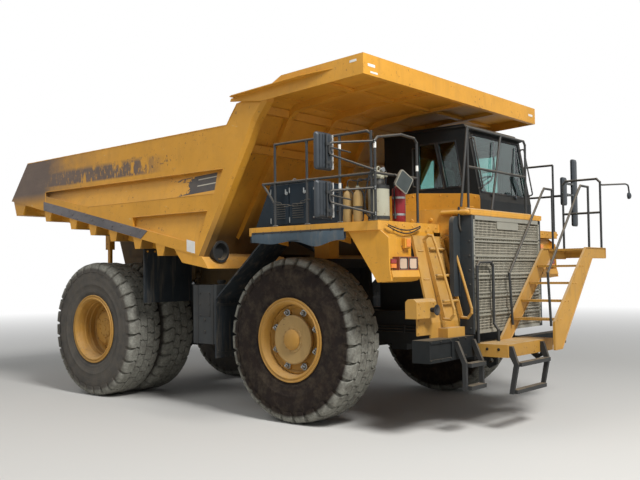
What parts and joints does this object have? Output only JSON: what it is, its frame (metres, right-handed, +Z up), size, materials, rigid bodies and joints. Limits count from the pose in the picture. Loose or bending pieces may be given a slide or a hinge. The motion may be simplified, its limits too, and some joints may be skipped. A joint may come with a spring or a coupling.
{
  "type": "mining dump truck",
  "caption": "Rigid-frame mining dump truck with a tipping rock bed and canopy, offset cab, front stairs, steered front wheels and twin rear wheels.",
  "frame": {"origin": "on the ground, in the middle of the truck's length and width", "axes": "+X forward, +Y to the driver's left, +Z up"},
  "size_m": [10.863, 6.8798, 5.289],
  "materials": {
    "yellow_paint": "semi-gloss enamel, dusty",
    "bed_paint": "worn enamel, rust at the tail",
    "rim_paint": "semi-gloss enamel, dusty",
    "frame_paint": "black enamel, dusty",
    "engine_paint": "dark grey enamel, dusty",
    "grey_paint": "dark grey enamel",
    "grille_paint": "grey enamel",
    "cab_paint": "black enamel",
    "rail_paint": "dark grey enamel",
    "teal_paint": "dark blue-grey enamel",
    "cream_paint": "aged cream enamel",
    "red_paint": "gloss red enamel",
    "stage_paint": "worn steel tube",
    "rod_chrome": "hard chrome",
    "tyre_rubber": "dusty black rubber",
    "fender_rubber": "weathered rubber",
    "window_glass": "lightly tinted",
    "cab_trim": "moulded grain",
    "mirror_housing": "moulded grain",
    "lamp_lens": "clear lens over a reflector"
  },
  "bodies": {
    "chassis": {"main_frame": "frame_paint", "engine_and_radiator": "engine_paint", "front_bumper": "grey_paint", "grille": "grille_paint", "hood": "yellow_paint", "decks": "yellow_paint", "front_platform": "yellow_paint", "stairs": "yellow_paint", "hanging_steps": "frame_paint", "ladder_right": "yellow_paint", "wing_panels": "yellow_paint", "lamps": "lamp_lens", "cab_shell": "cab_paint", "cab_glass": "window_glass", "cab_seat_and_wheel": "cab_trim", "handrails_deck": "rail_paint", "handrails_front": "rail_paint", "mirrors": "mirror_housing", "side_cabinet": "teal_paint", "suppression_tank": "cream_paint", "extinguisher": "red_paint", "side_tanks": "engine_paint", "mudguards": "fender_rubber", "rear_axle": "frame_paint", "suspension": "frame_paint"},
    "cab_door": {"cab_door": "cab_paint", "door_glass": "window_glass"},
    "dump_bed": {"bed_shell": "bed_paint", "bed_ribs": "bed_paint", "bed_underframe": "bed_paint", "bed_bolsters": "bed_paint", "canopy": "bed_paint", "rock_bars": "bed_paint", "bed_flaps": "fender_rubber"},
    "hoist_barrels": {"hoist_barrels": "frame_paint"},
    "hoist_stages": {"hoist_stages": "stage_paint"},
    "hoist_rods": {"hoist_rods": "rod_chrome"},
    "knuckle_left": {"knuckle_left": "frame_paint"},
    "knuckle_right": {"knuckle_right": "frame_paint"},
    "tie_rod": {"tie_rod": "frame_paint"},
    "wheel_front_left": {"tyre_front_left": "tyre_rubber", "rim_front_left": "rim_paint"},
    "wheel_front_right": {"tyre_front_right": "tyre_rubber", "rim_front_right": "rim_paint"},
    "wheels_rear_left": {"tyres_rear_left": "tyre_rubber", "rims_rear_left": "rim_paint"},
    "wheels_rear_right": {"tyres_rear_right": "tyre_rubber", "rims_rear_right": "rim_paint"}
  },
  "joints": [
    {"name": "bed_tip", "type": "hinge", "parent": "chassis", "child": "dump_bed", "pos_m": [-3.811, 0, 1.95], "axis": [0, -1, 0], "range_deg": [0, 48]},
    {"name": "hoist_tilt", "type": "hinge", "parent": "chassis", "child": "hoist_barrels", "pos_m": [-1.911, 0, 0.95], "axis": [0, 1, 0], "range_deg": [-25, 1]},
    {"name": "hoist_stage_slide", "type": "slide", "parent": "hoist_barrels", "child": "hoist_stages", "axis": [0.1888, 0, 0.982], "range_m": [0, 0.8]},
    {"name": "hoist_rod_slide", "type": "slide", "parent": "hoist_stages", "child": "hoist_rods", "axis": [0.1888, 0, 0.982], "range_m": [0, 0.8]},
    {"name": "steer_left", "type": "hinge", "parent": "chassis", "child": "knuckle_left", "pos_m": [2.239, 1.45, 1.26], "axis": [0, 0, 1], "range_deg": [-39, 39]},
    {"name": "steer_right", "type": "hinge", "parent": "chassis", "child": "knuckle_right", "pos_m": [2.239, -1.45, 1.26], "axis": [0, 0, 1], "range_deg": [-39, 39]},
    {"name": "tie_rod_swing", "type": "hinge", "parent": "knuckle_left", "child": "tie_rod", "pos_m": [1.739, 1.45, 1.02], "axis": [0, 0, 1], "range_deg": [-39, 39]},
    {"name": "door_swing", "type": "hinge", "parent": "chassis", "child": "cab_door", "pos_m": [2.799, 2.064, 3.8], "axis": [0, 0, 1], "range_deg": [0, 50]},
    {"name": "front_left_spin", "type": "hinge", "parent": "knuckle_left", "child": "wheel_front_left", "pos_m": [2.239, 2.08, 1.26], "axis": [0, 1, 0], "continuous": true},
    {"name": "front_right_spin", "type": "hinge", "parent": "knuckle_right", "child": "wheel_front_right", "pos_m": [2.239, -2.08, 1.26], "axis": [0, 1, 0], "continuous": true},
    {"name": "rear_left_spin", "type": "hinge", "parent": "chassis", "child": "wheels_rear_left", "pos_m": [-2.711, 2.16, 1.26], "axis": [0, 1, 0], "continuous": true},
    {"name": "rear_right_spin", "type": "hinge", "parent": "chassis", "child": "wheels_rear_right", "pos_m": [-2.711, -2.16, 1.26], "axis": [0, 1, 0], "continuous": true}
  ],
  "couplings": [
    {"joint": "hoist_tilt", "follows": "bed_tip", "ratio": -0.51408},
    {"joint": "hoist_stage_slide", "follows": "bed_tip", "m_per_rad": 0.95},
    {"joint": "hoist_rod_slide", "follows": "bed_tip", "m_per_rad": 0.94653},
    {"joint": "steer_right", "follows": "steer_left", "ratio": 1},
    {"joint": "tie_rod_swing", "follows": "steer_left", "ratio": -1}
  ]
}
